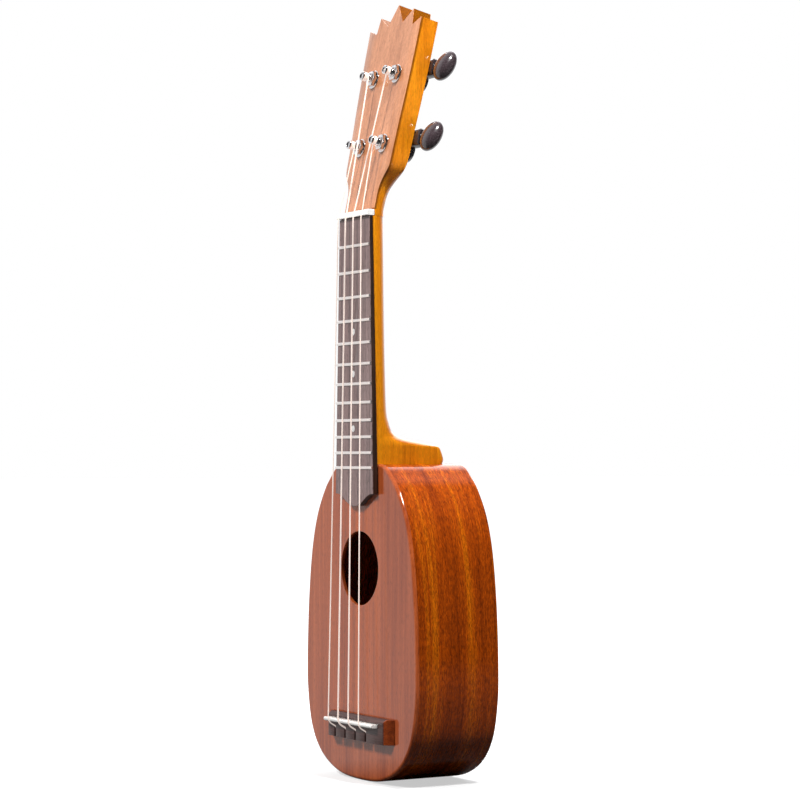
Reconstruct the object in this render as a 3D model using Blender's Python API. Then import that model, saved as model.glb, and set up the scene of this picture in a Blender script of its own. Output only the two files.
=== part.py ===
"""Soprano pineapple ukulele with four geared tuners, in metres.

Frame: the origin is on the neck's front face, at the lower edge of the nut. +Z runs up the neck to the
headstock, +Y runs from the soundboard to the back, and +X is to the right of somebody who faces the strings.

Flat pieces are drawn in one of two planes. BODY_PLANE is the face of the neck and the soundboard, and
HEAD_PLANE is the face of the headstock, which leans back. In both, local x is +X, local y runs up towards
the crown and local z points out of the face, towards the player.
"""

import math

import bmesh
import bpy
from mathutils import Matrix, Vector

MM = 0.001
FIT = 0.2 * MM  # space left between two glued pieces
RUNNING_FIT = 0.15 * MM  # space round a shaft that turns

# Strings and fretboard
SCALE_LENGTH = 345 * MM
COMPENSATION = 2 * MM
FRET_COUNT = 12
DOT_FRETS = (5, 7, 10)
STRING_NAMES = ("g", "c", "e", "a")  # from -X to +X
STRING_RADIUS = {"g": 0.42 * MM, "c": 0.55 * MM, "e": 0.5 * MM, "a": 0.42 * MM}
STRING_SPREAD_NUT = 32 * MM
STRING_SPREAD_SADDLE = 42 * MM
STRING_SHIFT_NUT = -1.5 * MM  # the strings run a little to the -X side of the middle
STRING_SHIFT_SADDLE = -2.0 * MM
BOARD_THICKNESS = 4.1 * MM  # at the body; it thins towards the nut, where the neck's face rises to meet it
BOARD_TOP = FIT + BOARD_THICKNESS
NECK_RISE = 1.4 * MM
BOARD_HALF_AT_NUT = 20.6 * MM
BOARD_HALF_AT_BODY = 25.2 * MM
BOARD_CORNER = -190.5 * MM
BOARD_TIP = -199 * MM
FRET_HEIGHT = 1.0 * MM
FRET_WIDTH = 2.2 * MM
DOT_RADIUS = 2.3 * MM
DOT_SHIFT = -1.5 * MM
DOT_DEPTH = 1.2 * MM
NUT_THICKNESS = 4.2 * MM
NUT_TOP = 6.8 * MM

# Body
BODY_DEPTH = 65.7 * MM
PLATE = 2.2 * MM
SIDE = 2.0 * MM
LINING_WIDTH = 3.0 * MM
LINING_DEPTH = 6.0 * MM
BODY_TOP = -169.6 * MM
BODY_TAIL = -387 * MM
# Right half of the outline, from the tail to the neck, in millimetres from the nut
HALF_OUTLINE = (
    (0, -387), (30, -384.7), (54, -374.3), (68.5, -357), (75, -332), (76, -306), (74, -267),
    (69.2, -231), (61.6, -206), (50.5, -187.5), (41.5, -178.2), (33, -171.6), (22, -169.8), (0, -169.6),
)
OUTLINE_STEPS = 3
HOLE_CENTRE = -241.8 * MM
HOLE_RADIUS = 25.4 * MM
BLOCK_END = 21.6 * MM  # the linings stop at this distance from the middle
TOP_BRACES = {"brace_top_upper": (-207 * MM, 53 * MM), "brace_top_lower": (-278 * MM, 67 * MM)}
BACK_BRACES = {"brace_back_upper": (-235 * MM, 62 * MM), "brace_back_lower": (-325 * MM, 67 * MM)}
BRACE_WIDTH = 6 * MM
BRACE_DEPTH = 8 * MM

# Bridge
SADDLE_LINE = -SCALE_LENGTH - COMPENSATION
BRIDGE_TOP_EDGE = -342 * MM
BRIDGE_TAIL_EDGE = -359 * MM
BRIDGE_MIDDLE = 5.0 * MM  # the block and the saddle sit a little to the +X side
BRIDGE_HALF_TOP = 37.4 * MM
BRIDGE_HALF_BASE = 42.9 * MM
BRIDGE_HEIGHT = 6.3 * MM
SADDLE_MIDDLE = 2.3 * MM
SADDLE_HALF = 33 * MM
SADDLE_THICKNESS = 2.6 * MM
SADDLE_FOOT = 2.8 * MM
SADDLE_TOP = 11.3 * MM
TIE_SLOT_START = -351 * MM
TIE_SLOT_FLOOR = 1.4 * MM
TIE_SLOT_WIDTH = 1.7 * MM

# Neck and headstock
HEAD_TILT = math.radians(12.4)
HEAD_START = 6.8 * MM
HEAD_THICKNESS = 14 * MM
NECK_FOOT = BODY_TOP + FIT
# (distance up the neck, half width, depth, squareness of the section) in millimetres
NECK_SECTIONS = (
    (-169.4, 24.3, 54.5, 10), (-168.5, 24.3, 56, 10), (-166, 24.3, 56.3, 10), (-161, 24.3, 54.5, 10),
    (-158.5, 24.3, 53, 10), (-157, 24.3, 52.6, 5), (-155, 24.2, 46.5, 2.8), (-152, 24.1, 31, 2.1),
    (-148.5, 24, 22, 2.2), (-145.5, 23.9, 19, 2.3), (-142, 23.8, 17.9, 2.2), (-134, 23.6, 16, 2.1),
    (-110, 23.1, 15, 2.1), (-70, 22.3, 14.3, 2.1), (-0.1, 20.8, 14, 2.1),
)
# (distance up the headstock, half width, depth, squareness) in millimetres
HEAD_SECTIONS = (
    (0, 20.7, 14, 2.3), (7, 20.7, 14, 2.4), (11, 20.9, 14, 2.6), (15, 21.8, 14, 3), (19, 23.8, 14, 3.6),
    (23, 26.6, 14, 4.5), (26.5, 29, 14, 5.5), (30, 30, 14, 7), (38, 30.4, 14, 11), (55, 31.3, 14, 12),
    (78, 33, 14, 12), (98, 34, 14, 12), (118, 34.7, 14, 12), (134, 35, 14, 12), (150, 35.2, 14, 12),
)
SECTION_POINTS = 17
# Right half of the crown, from the middle point outwards, in millimetres up the headstock
CROWN = ((0, 148), (10, 133.8), (22.3, 141.8), (24.4, 129.8), (35, 134))

# Tuners: places in HEAD_PLANE, and sizes round the post's axis
POST_OUT = 15.6 * MM
POST_UP = {"lower": 45.2 * MM, "upper": 95.4 * MM}
TUNERS = {"g": (-1, "lower"), "c": (-1, "upper"), "e": (1, "upper"), "a": (1, "lower")}
POST_RADIUS = 3.0 * MM
POST_TIP = 10.5 * MM  # above the headstock's face
POST_WAIST = 7 * MM
POST_WAIST_RADIUS = 2.1 * MM
GEAR_TEETH = 12
WORM_OFFSET = 7.0 * MM  # from the post's axis up to the worm's axis
WORM_DEPTH = 4.8 * MM  # behind the headstock's back
GEAR_PITCH_RADIUS = 5.2 * MM
WORM_LEAD = 2 * math.pi * GEAR_PITCH_RADIUS / GEAR_TEETH
GEAR_FACE = 4.0 * MM
WORM_PITCH_RADIUS = WORM_OFFSET - GEAR_PITCH_RADIUS
WORM_CREST_RADIUS = 2.4 * MM
WORM_CORE_RADIUS = 1.0 * MM
WORM_TURNS = 2.4
SHAFT_RADIUS = 1.5 * MM
DRUM_RADIUS = 8.8 * MM
HOUSING_DEPTH = 8.6 * MM
HOUSING_END = 21.3 * MM
TUBE_HALF_TALL = 6.2 * MM
BUTTON_START = 22.8 * MM
BUTTON_LENGTH = 17.2 * MM
BUTTON_TURN = math.radians(-16.5)  # the paddle leans back at its upper end

MATERIALS = {
    "mahogany_top": ((0.37, 0.13, 0.075), 0.25, 0.0),
    "mahogany_side": ((0.42, 0.10, 0.012), 0.2, 0.0),
    "mahogany_neck": ((0.62, 0.24, 0.03), 0.22, 0.0),
    "rosewood": ((0.09, 0.045, 0.03), 0.4, 0.0),
    "spruce": ((0.62, 0.42, 0.22), 0.6, 0.0),
    "bone": ((0.85, 0.82, 0.76), 0.3, 0.0),
    "nickel_silver": ((0.75, 0.74, 0.7), 0.25, 1.0),
    "pearl": ((0.85, 0.85, 0.82), 0.25, 0.0),
    "nylon": ((0.85, 0.82, 0.78), 0.2, 0.0),
    "chrome": ((0.8, 0.8, 0.82), 0.1, 1.0),
    "black_metal": ((0.03, 0.027, 0.03), 0.3, 0.6),
    "steel": ((0.5, 0.5, 0.5), 0.3, 1.0),
    "black_plastic": ((0.025, 0.02, 0.024), 0.18, 0.0),
}


def clear_scene():
    for obj in list(bpy.data.objects):
        bpy.data.objects.remove(obj, do_unlink=True)


def material(name):
    """The named Principled material, made on first use."""
    found = bpy.data.materials.get(name)
    if found:
        return found
    color, roughness, metallic = MATERIALS[name]
    made = bpy.data.materials.new(name)
    made.use_nodes = True
    shader = made.node_tree.nodes["Principled BSDF"]
    shader.inputs["Base Color"].default_value = (*color, 1)
    shader.inputs["Roughness"].default_value = roughness
    shader.inputs["Metallic"].default_value = metallic
    made.diffuse_color = (*color, 1)
    return made


def plane(name, location, tilt, parent=None):
    """An empty whose local z points out of a face that leans back by tilt."""
    empty = bpy.data.objects.new(name, None)
    empty.location = location
    empty.rotation_euler = (math.pi / 2 - tilt, 0, 0)
    empty.parent = parent
    bpy.context.scene.collection.objects.link(empty)
    return empty


def add_object(name, bm, material_name, parent, location=(0, 0, 0)):
    """The bmesh as a named object with outward faces."""
    bmesh.ops.recalc_face_normals(bm, faces=bm.faces[:])
    mesh = bpy.data.meshes.new(name)
    bm.to_mesh(mesh)
    bm.free()
    mesh.shade_smooth()
    mesh.set_sharp_from_angle(angle=math.radians(35))
    mesh.materials.append(material(material_name))
    obj = bpy.data.objects.new(name, mesh)
    obj.location = location
    obj.parent = parent
    bpy.context.scene.collection.objects.link(obj)
    return obj


def add_cutter(name, bm, parent, location=(0, 0, 0)):
    """A helper for a Boolean, left out of the model."""
    obj = add_object(name, bm, "steel", parent, location)
    obj.hide_render = True
    obj.display_type = "WIRE"
    return obj


def boolean(obj, other, operation):
    modifier = obj.modifiers.new(other.name, "BOOLEAN")
    modifier.object = other
    modifier.operation = operation
    modifier.solver = "EXACT"


def smooth_curve(points, steps):
    """A Catmull-Rom curve through the points of half an outline, which meets the middle line squarely."""
    first = (-points[1][0], points[1][1])
    last = (-points[-2][0], points[-2][1])
    padded = [Vector(p) for p in (first, *points, last)]
    curve = []
    for before, start, end, after in zip(padded, padded[1:], padded[2:], padded[3:]):
        for step in range(steps):
            t = step / steps
            curve.append(
                0.5 * (2 * start + (end - before) * t
                       + (2 * before - 5 * start + 4 * end - after) * t * t
                       + (3 * start - before - 3 * end + after) * t ** 3)
            )
    curve.append(padded[-2])
    return curve


def offset_path(path, distance):
    """The path moved to its left by the distance."""
    moved = []
    for index, point in enumerate(path):
        ahead = path[min(index + 1, len(path) - 1)]
        behind = path[max(index - 1, 0)]
        along = (ahead - behind).normalized()
        if index in (0, len(path) - 1):
            along = Vector((math.copysign(1, along.x), 0))
        moved.append(point + distance * Vector((-along.y, along.x)))
    return moved


def mirrored(points):
    return [(-p[0], p[1]) for p in reversed(points)]


def extrude_outline(outline, low, high):
    """A bmesh prism: the outline in local x and y, between two heights in local z."""
    bm = bmesh.new()
    face = bm.faces.new([bm.verts.new((p[0], p[1], low)) for p in outline])
    walls = bmesh.ops.extrude_face_region(bm, geom=[face])
    tops = [v for v in walls["geom"] if isinstance(v, bmesh.types.BMVert)]
    bmesh.ops.translate(bm, verts=tops, vec=(0, 0, high - low))
    return bm


def box(low, high):
    return extrude_outline(
        ((low[0], low[1]), (high[0], low[1]), (high[0], high[1]), (low[0], high[1])), low[2], high[2]
    )


def circle(radius, segments, centre=(0, 0)):
    turn = 2 * math.pi / segments
    return [
        (centre[0] + radius * math.cos(i * turn), centre[1] + radius * math.sin(i * turn))
        for i in range(segments)
    ]


def loft(rings, closed=False):
    """A bmesh skin over rings of equal length, with its ends capped, or joined end to end when closed."""
    bm = bmesh.new()
    loops = [[bm.verts.new(p) for p in ring] for ring in rings]
    pairs = list(zip(loops, loops[1:]))
    if closed:
        pairs.append((loops[-1], loops[0]))
    else:
        bm.faces.new(loops[0])
        bm.faces.new(loops[-1])
    for one, two in pairs:
        for i in range(len(one)):
            j = (i + 1) % len(one)
            bm.faces.new((one[i], one[j], two[j], two[i]))
    return bm


def turned(profile, segments, turn=None):
    """A loft round local z through (radius, height) pairs; turn maps a point onto another axis."""
    rings = [[Vector((x, y, height)) for x, y in circle(radius, segments)] for radius, height in profile]
    if turn:
        rings = [[turn @ p for p in ring] for ring in rings]
    return loft(rings)


# Body ---------------------------------------------------------------------------------------------


def half_outline():
    return smooth_curve([(x * MM, y * MM) for x, y in HALF_OUTLINE], OUTLINE_STEPS)


def full_outline():
    right = [(p.x, p.y) for p in half_outline()]
    return right + mirrored(right)[1:-1]


def strip(path, near, far):
    """The closed outline between two offsets of a path."""
    return [tuple(p) for p in offset_path(path, near)] + [tuple(p) for p in reversed(offset_path(path, far))]


def build_plates(body):
    soundboard = add_object("soundboard", extrude_outline(full_outline(), -PLATE, 0), "mahogany_top", body)
    hole = circle(HOLE_RADIUS, 40, (0, HOLE_CENTRE))
    cutter = add_cutter("soundhole_cutter", extrude_outline(hole, -2 * PLATE, PLATE), body)
    boolean(soundboard, cutter, "DIFFERENCE")
    back = extrude_outline(full_outline(), -BODY_DEPTH, -BODY_DEPTH + PLATE)
    add_object("back", back, "mahogany_side", body)


def build_rim(body):
    """The two bent sides, and the four linings that glue the plates to them."""
    path = half_outline()
    path[0].x = path[-1].x = FIT / 2
    lining_path = [p for p in path if p.x > BLOCK_END]
    front = -PLATE - FIT
    rear = -BODY_DEPTH + PLATE + FIT
    near = SIDE + FIT
    far = near + LINING_WIDTH
    pieces = (
        ("side", strip(path, 0, SIDE), rear, front, "mahogany_side"),
        ("lining_top", strip(lining_path, near, far), front - LINING_DEPTH, front, "spruce"),
        ("lining_back", strip(lining_path, near, far), rear, rear + LINING_DEPTH, "spruce"),
    )
    for name, outline, low, high, material_name in pieces:
        for hand, shape in (("right", outline), ("left", mirrored(outline))):
            add_object(f"{name}_{hand}", extrude_outline(shape, low, high), material_name, body)


def build_inner_frame(body):
    """The end blocks, the braces and the plate under the bridge."""
    front = -PLATE - FIT
    rear = -BODY_DEPTH + PLATE + FIT
    neck_block = box((-21 * MM, -192 * MM, rear), (21 * MM, BODY_TOP - SIDE - 4 * FIT, front))
    add_object("neck_block", neck_block, "spruce", body)
    tail_block = box((-18 * MM, BODY_TAIL + SIDE + 2 * MM, rear), (18 * MM, -371 * MM, front))
    add_object("tail_block", tail_block, "spruce", body)
    half = BRACE_WIDTH / 2
    for name, (up, reach) in TOP_BRACES.items():
        brace = box((-reach, up - half, front - BRACE_DEPTH), (reach, up + half, front))
        add_object(name, brace, "spruce", body)
    for name, (up, reach) in BACK_BRACES.items():
        brace = box((-reach, up - half, rear), (reach, up + half, rear + BRACE_DEPTH))
        add_object(name, brace, "spruce", body)
    plate = box((-44 * MM, -364 * MM, front - 2 * MM), (44 * MM, -336 * MM, front))
    add_object("bridge_plate", plate, "spruce", body)


# Neck ---------------------------------------------------------------------------------------------


def section(half_width, depth, squareness):
    """Half of a superellipse behind the face, from +x to -x, as (x, depth) pairs."""
    points = []
    for i in range(SECTION_POINTS):
        angle = math.pi * i / (SECTION_POINTS - 1)
        cosine = math.cos(angle)
        across = math.copysign(abs(cosine) ** (2 / squareness), cosine) * half_width
        points.append((across, abs(math.sin(angle)) ** (2 / squareness) * depth))
    points[0] = (half_width, 0)
    points[-1] = (-half_width, 0)
    return points


def neck_rings():
    lean = Matrix.Rotation(-HEAD_TILT, 4, "X")
    start = Vector((0, 0, HEAD_START))
    rings = []
    for up, half_width, depth, squareness in NECK_SECTIONS:
        rise = NECK_RISE * (1 - up * MM / BODY_TOP)
        shape = section(half_width * MM, depth * MM + rise, squareness)
        rings.append([Vector((x, d - rise, up * MM)) for x, d in shape])
    # The nut's ledge, level with the foot of the headstock's face
    rings.append([Vector((x, d, 0)) for x, d in section(20.8 * MM, 14 * MM, 2.1)])
    for up, half_width, depth, squareness in HEAD_SECTIONS:
        shape = section(half_width * MM, depth * MM, squareness)
        rings.append([start + lean @ Vector((x, d, up * MM)) for x, d in shape])
    return rings


def crown_cutter():
    """Everything above the five points of the crown."""
    right = [(x * MM, y * MM) for x, y in CROWN]
    edge = mirrored(right)[:-1] + right
    outside = 60 * MM
    outline = [(-outside, edge[0][1])] + edge + [(outside, edge[-1][1]), (outside, 0.2), (-outside, 0.2)]
    return extrude_outline(outline, -HEAD_THICKNESS - 5 * MM, 5 * MM)


def build_neck(head):
    neck = add_object("neck", loft(neck_rings()), "mahogany_neck", None)
    boolean(neck, add_cutter("crown_cutter", crown_cutter(), head), "DIFFERENCE")
    for name, (side, row) in TUNERS.items():
        hole = circle(POST_RADIUS + 1.3 * MM, 18, (side * POST_OUT, POST_UP[row]))
        bore = extrude_outline(hole, -HEAD_THICKNESS - 3 * MM, 3 * MM)
        boolean(neck, add_cutter(f"post_bore_{name}", bore, head), "DIFFERENCE")


def board_half_width(up):
    """Half the fretboard's width, at a place down the neck."""
    share = up / BODY_TOP
    return BOARD_HALF_AT_NUT + (BOARD_HALF_AT_BODY - BOARD_HALF_AT_NUT) * share


def fret_place(number):
    return -SCALE_LENGTH * (1 - 2 ** (-number / 12))


def dot_place(fret):
    return (fret_place(fret - 1) + fret_place(fret)) / 2


def board_outline():
    """The fretboard from above, with the end that comes to a low point over the soundboard."""
    corner = board_half_width(BOARD_CORNER)
    right = [(BOARD_HALF_AT_NUT, 0), (corner, BOARD_CORNER)]
    steps = 6
    for i in range(1, steps + 1):
        share = i / steps
        drop = (share - math.sin(2 * math.pi * share) / (2 * math.pi)) * (BOARD_TIP - BOARD_CORNER)
        right.append((corner * (1 - share), BOARD_CORNER + drop))
    return right + mirrored(right)[1:]


def build_fretboard(body):
    board = add_object("fretboard", extrude_outline(board_outline(), FIT, BOARD_TOP), "rosewood", body)
    wide = 2 * BOARD_HALF_AT_BODY
    wedge = ((0.001, -MM), (BODY_TOP, -MM), (BODY_TOP, FIT), (0, FIT + NECK_RISE), (0.001, FIT + NECK_RISE))
    under = loft([[(x, y, z) for y, z in wedge] for x in (-wide, wide)])
    boolean(board, add_cutter("neck_rise", under, body), "DIFFERENCE")
    fit = 0.1 * MM
    for fret in DOT_FRETS:
        place = (DOT_SHIFT, dot_place(fret))
        hole = extrude_outline(circle(DOT_RADIUS + fit, 16, place), BOARD_TOP - DOT_DEPTH, BOARD_TOP + MM)
        boolean(board, add_cutter(f"dot_recess_{fret}", hole, body), "DIFFERENCE")
        dot = extrude_outline(circle(DOT_RADIUS, 16, place), BOARD_TOP - DOT_DEPTH + fit, BOARD_TOP + fit / 4)
        add_object(f"position_dot_{fret}", dot, "pearl", body)
    for number in range(1, FRET_COUNT + 1):
        place = fret_place(number)
        arch = [(math.cos(math.pi * i / 6), math.sin(math.pi * i / 6)) for i in range(7)]
        reach = board_half_width(place)
        rings = [
            [(x, place + c * FRET_WIDTH / 2, BOARD_TOP + fit + s * FRET_HEIGHT) for c, s in arch]
            for x in (-reach, reach)
        ]
        add_object(f"fret_{number:02d}", loft(rings), "nickel_silver", body)


def nut_height(up):
    """The nut's top falls away from the fretboard towards the headstock."""
    return NUT_TOP - 0.18 * up


def build_nut(body):
    half = BOARD_HALF_AT_NUT + 0.3 * MM
    low = FIT
    high = FIT + NUT_THICKNESS
    profile = [(low, FIT), (high, FIT), (high, nut_height(high) - 0.5 * MM), (low + 0.8 * MM, NUT_TOP), (low, NUT_TOP)]
    nut = loft([[(x, y, z) for y, z in profile] for x in (-half, half)])
    add_object("nut", nut, "bone", body)


# Bridge -------------------------------------------------------------------------------------------


def string_x(index, spread, shift):
    return shift + spread * (index / (len(STRING_NAMES) - 1) - 0.5)


def build_bridge(body):
    """The block with its sloping ends, the saddle's slot and four tie slots that open at the tail edge."""
    top_bevel = 2.0 * MM
    profile = (
        (BRIDGE_TAIL_EDGE, FIT), (BRIDGE_TOP_EDGE, FIT), (BRIDGE_TOP_EDGE, BRIDGE_HEIGHT * 0.6),
        (BRIDGE_TOP_EDGE - top_bevel, BRIDGE_HEIGHT), (BRIDGE_TAIL_EDGE, BRIDGE_HEIGHT),
    )
    slope = (BRIDGE_HALF_BASE - BRIDGE_HALF_TOP) / (BRIDGE_HEIGHT - FIT)
    rings = [
        [(BRIDGE_MIDDLE + side * (BRIDGE_HALF_BASE - slope * (z - FIT)), y, z) for y, z in profile]
        for side in (-1, 1)
    ]
    bridge = add_object("bridge", loft(rings), "rosewood", body)
    half = SADDLE_THICKNESS / 2 + FIT
    ends = (SADDLE_MIDDLE - SADDLE_HALF, SADDLE_MIDDLE + SADDLE_HALF)
    slot = box((ends[0] - FIT, SADDLE_LINE - half, SADDLE_FOOT - FIT),
               (ends[1] + FIT, SADDLE_LINE + half, 20 * MM))
    boolean(bridge, add_cutter("saddle_slot", slot, body), "DIFFERENCE")
    for index, name in enumerate(STRING_NAMES):
        x = string_x(index, STRING_SPREAD_SADDLE, STRING_SHIFT_SADDLE)
        tie = box((x - TIE_SLOT_WIDTH / 2, BRIDGE_TAIL_EDGE - 2 * MM, TIE_SLOT_FLOOR),
                  (x + TIE_SLOT_WIDTH / 2, TIE_SLOT_START, 20 * MM))
        boolean(bridge, add_cutter(f"tie_slot_{name}", tie, body), "DIFFERENCE")
    arch = [(math.cos(math.pi * i / 6), math.sin(math.pi * i / 6)) for i in range(7)]
    round_height = 0.9 * MM
    outline = [(SADDLE_LINE + c * SADDLE_THICKNESS / 2, SADDLE_TOP - round_height * (1 - s)) for c, s in arch]
    outline += [(SADDLE_LINE - SADDLE_THICKNESS / 2, SADDLE_FOOT), (SADDLE_LINE + SADDLE_THICKNESS / 2, SADDLE_FOOT)]
    saddle = loft([[(x, y, z) for y, z in outline] for x in ends])
    add_object("saddle", saddle, "bone", body)


# Tuners -------------------------------------------------------------------------------------------


def along_worm(side):
    """Turns local z of a turned piece onto the worm's axis, which points away from the middle."""
    return Matrix.Rotation(side * math.pi / 2, 3, "Y")


def gear_rings():
    """The wheel's teeth at its front and rear faces, turned against each other by the worm's lead."""
    lead_slope = WORM_LEAD / (2 * math.pi * WORM_PITCH_RADIUS)
    twist = lead_slope * GEAR_FACE / GEAR_PITCH_RADIUS
    root, tip = GEAR_PITCH_RADIUS - 0.95 * MM, GEAR_PITCH_RADIUS + 0.6 * MM
    tooth = 2 * math.pi / GEAR_TEETH
    shape = ((-0.27, root), (-0.10, tip), (0.10, tip), (0.27, root))
    return root, twist, [
        (tooth * (i + share), radius) for i in range(GEAR_TEETH) for share, radius in shape
    ]


def build_post(name, side, axis):
    """The string post, one piece with its worm wheel, on the axis of its own joint."""
    front = HEAD_THICKNESS
    step = -WORM_DEPTH - 0.6 * MM
    profile = (
        (1.6 * MM, step - 1.8 * MM), (1.6 * MM, step), (POST_RADIUS, step), (POST_RADIUS, front + 4.6 * MM),
        (2.5 * MM, front + 5.4 * MM), (POST_WAIST_RADIUS, front + POST_WAIST),
        (2.4 * MM, front + 8.4 * MM), (3.2 * MM, front + 9.2 * MM), (3.2 * MM, front + 9.9 * MM),
        (2.4 * MM, front + POST_TIP),
    )
    post = add_object(f"string_post_{name}", turned(profile, 16), "chrome", axis)
    root, twist, teeth = gear_rings()
    middle = -WORM_DEPTH
    rings = []
    for end in (-0.5, 0.5):
        # A tooth stands between two threads of the worm, straight above the post.
        start = math.pi / 2 + math.pi / GEAR_TEETH + side * twist * end
        height = middle + end * GEAR_FACE
        rings.append([(r * math.cos(start + a), r * math.sin(start + a), height) for a, r in teeth])
    wheel = add_cutter(f"worm_wheel_{name}", loft(rings), axis)
    boolean(post, wheel, "UNION")
    hole = turned(((0.7 * MM, -5 * MM), (0.7 * MM, 5 * MM)), 8, Matrix.Rotation(math.pi / 2, 3, "Y"))
    cutter = add_cutter(f"string_hole_{name}", hole, axis, (0, 0, front + POST_WAIST))
    boolean(post, cutter, "DIFFERENCE")


def worm_thread(side):
    """The single thread of the worm: a ridge swept along a helix round the worm's axis, local x."""
    steps = 14
    root_half, crest_half = 0.30 * WORM_LEAD, 0.09 * WORM_LEAD
    inner, outer = WORM_CORE_RADIUS - 0.25 * MM, WORM_CREST_RADIUS
    ridge = ((-root_half, inner), (-crest_half, outer), (crest_half, outer), (root_half, inner))
    count = round(WORM_TURNS * steps)
    rings = []
    for i in range(count + 1):
        turns = (i - count / 2) / steps
        # The helix's right-hand thread is mirrored for the tuners on the other side.
        angle = side * 2 * math.pi * turns
        along = WORM_LEAD * turns
        rings.append([
            (along + shift, -radius * math.cos(angle), -radius * math.sin(angle)) for shift, radius in ridge
        ])
    return loft(rings)


def build_worm(name, side, axis):
    out = along_worm(side)
    relief = WORM_LEAD * WORM_TURNS / 2 + 1.2 * MM
    profile = (
        (SHAFT_RADIUS, -relief - 2.2 * MM), (SHAFT_RADIUS, -relief), (WORM_CORE_RADIUS, -relief),
        (WORM_CORE_RADIUS, relief), (SHAFT_RADIUS, relief), (SHAFT_RADIUS, BUTTON_START + 12 * MM),
    )
    shaft = add_object(f"worm_shaft_{name}", turned(profile, 14, out), "steel", axis)
    boolean(shaft, add_cutter(f"worm_thread_{name}", worm_thread(side), axis), "UNION")


def build_button(name, side, axis):
    """The oval button: a short collar that spreads into a flat, rounded paddle."""
    out = along_worm(side)
    # (share of the length, half length along the headstock, half thickness) in millimetres
    shape = ((0, 2.7, 2.7), (0.05, 3.4, 3.2), (0.12, 6.8, 4.3), (0.26, 10.0, 5.5), (0.5, 11.75, 6.3),
             (0.74, 10.2, 5.5), (0.89, 7.3, 4.0), (0.97, 4.0, 2.3), (1, 2.2, 1.3))
    lean = Matrix.Rotation(BUTTON_TURN, 3, "X") @ out
    rings = []
    for share, long_half, thin_half in shape:
        height = BUTTON_START + share * BUTTON_LENGTH
        ring = [lean @ Vector((y * thin_half * MM, x * long_half * MM, height)) for x, y in circle(1, 18)]
        rings.append(ring)
    button = add_object(f"button_{name}", loft(rings), "black_plastic", axis)
    bore = turned(((SHAFT_RADIUS + FIT, BUTTON_START - MM), (SHAFT_RADIUS + FIT, BUTTON_START + 12.3 * MM)), 14, out)
    boolean(button, add_cutter(f"button_bore_{name}", bore, axis), "DIFFERENCE")


def build_housing(name, side, seat):
    """The closed gear case: a round drum behind the post and a flattened tube round the worm, open to the
    headstock."""
    out = along_worm(side)
    worm = (0, WORM_OFFSET, -WORM_DEPTH)
    back_edge = 1.2 * MM
    drum = turned(((DRUM_RADIUS - 0.2 * MM, -FIT), (DRUM_RADIUS, -HOUSING_DEPTH + 2.6 * back_edge),
                   (DRUM_RADIUS - 0.9 * MM, -HOUSING_DEPTH + 0.9 * back_edge), (DRUM_RADIUS - 3 * MM, -HOUSING_DEPTH)),
                  24)
    housing = add_object(f"tuner_housing_{name}", drum, "black_metal", seat)
    half_deep = (HOUSING_DEPTH - FIT) / 2
    rings = []
    for reach, size in ((-6.6 * MM, 1), (HOUSING_END - 1.4 * MM, 1), (HOUSING_END, 0.86)):
        ring = []
        for x, y in circle(1, 24):
            tall = math.copysign(abs(x) ** 0.55, x) * TUBE_HALF_TALL * size
            deep = math.copysign(abs(y) ** 0.55, y) * half_deep * size
            ring.append((side * reach, WORM_OFFSET + tall, -FIT - half_deep + deep))
        rings.append(ring)
    boolean(housing, add_cutter(f"tube_{name}", loft(rings), seat), "UNION")
    gear_space = turned(((6.3 * MM, -HOUSING_DEPTH + 0.9 * MM), (6.3 * MM, MM)), 24)
    boolean(housing, add_cutter(f"gear_space_{name}", gear_space, seat), "DIFFERENCE")
    worm_space = turned(((2.75 * MM, -4.9 * MM), (2.75 * MM, 6.5 * MM)), 16, out)
    boolean(housing, add_cutter(f"worm_space_{name}", worm_space, seat, worm), "DIFFERENCE")
    bearing = turned(((SHAFT_RADIUS + RUNNING_FIT, -9 * MM), (SHAFT_RADIUS + RUNNING_FIT, 30 * MM)), 14, out)
    boolean(housing, add_cutter(f"worm_bearing_{name}", bearing, seat, worm), "DIFFERENCE")


def build_bushing(name, seat):
    """The threaded sleeve through the headstock, one piece with its washer and hexagon."""
    segments = 18
    front = HEAD_THICKNESS + 0.1 * MM

    def ring(radius, height, hexagon=False):
        points = []
        for x, y in circle(radius, segments):
            angle = math.atan2(y, x) % (math.pi / 3) - math.pi / 6
            scale = math.cos(math.pi / 6) / math.cos(angle) if hexagon else 1
            points.append((x * scale, y * scale, height))
        return points

    bore = POST_RADIUS + RUNNING_FIT + 0.05 * MM
    sleeve = POST_RADIUS + 1.1 * MM
    rings = [
        ring(sleeve, 0.2 * MM), ring(sleeve, front), ring(6.6 * MM, front), ring(6.6 * MM, front + 0.9 * MM),
        ring(6.0 * MM, front + 0.9 * MM, True), ring(6.0 * MM, front + 4.2 * MM, True),
        ring(bore, front + 4.2 * MM), ring(bore, 0.2 * MM),
    ]
    add_object(f"bushing_{name}", loft(rings, closed=True), "chrome", seat)


def build_tuners(head):
    for name, (side, row) in TUNERS.items():
        seat = bpy.data.objects.new(f"post_axis_{name}", None)
        seat.location = (side * POST_OUT, POST_UP[row], -HEAD_THICKNESS)
        seat.parent = head
        bpy.context.scene.collection.objects.link(seat)
        worm_axis = bpy.data.objects.new(f"worm_axis_{name}", None)
        worm_axis.location = (0, WORM_OFFSET, -WORM_DEPTH)
        worm_axis.parent = seat
        bpy.context.scene.collection.objects.link(worm_axis)
        build_housing(name, side, seat)
        build_bushing(name, seat)
        build_post(name, side, seat)
        build_worm(name, side, worm_axis)
        build_button(name, side, worm_axis)


# Strings ------------------------------------------------------------------------------------------


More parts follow.
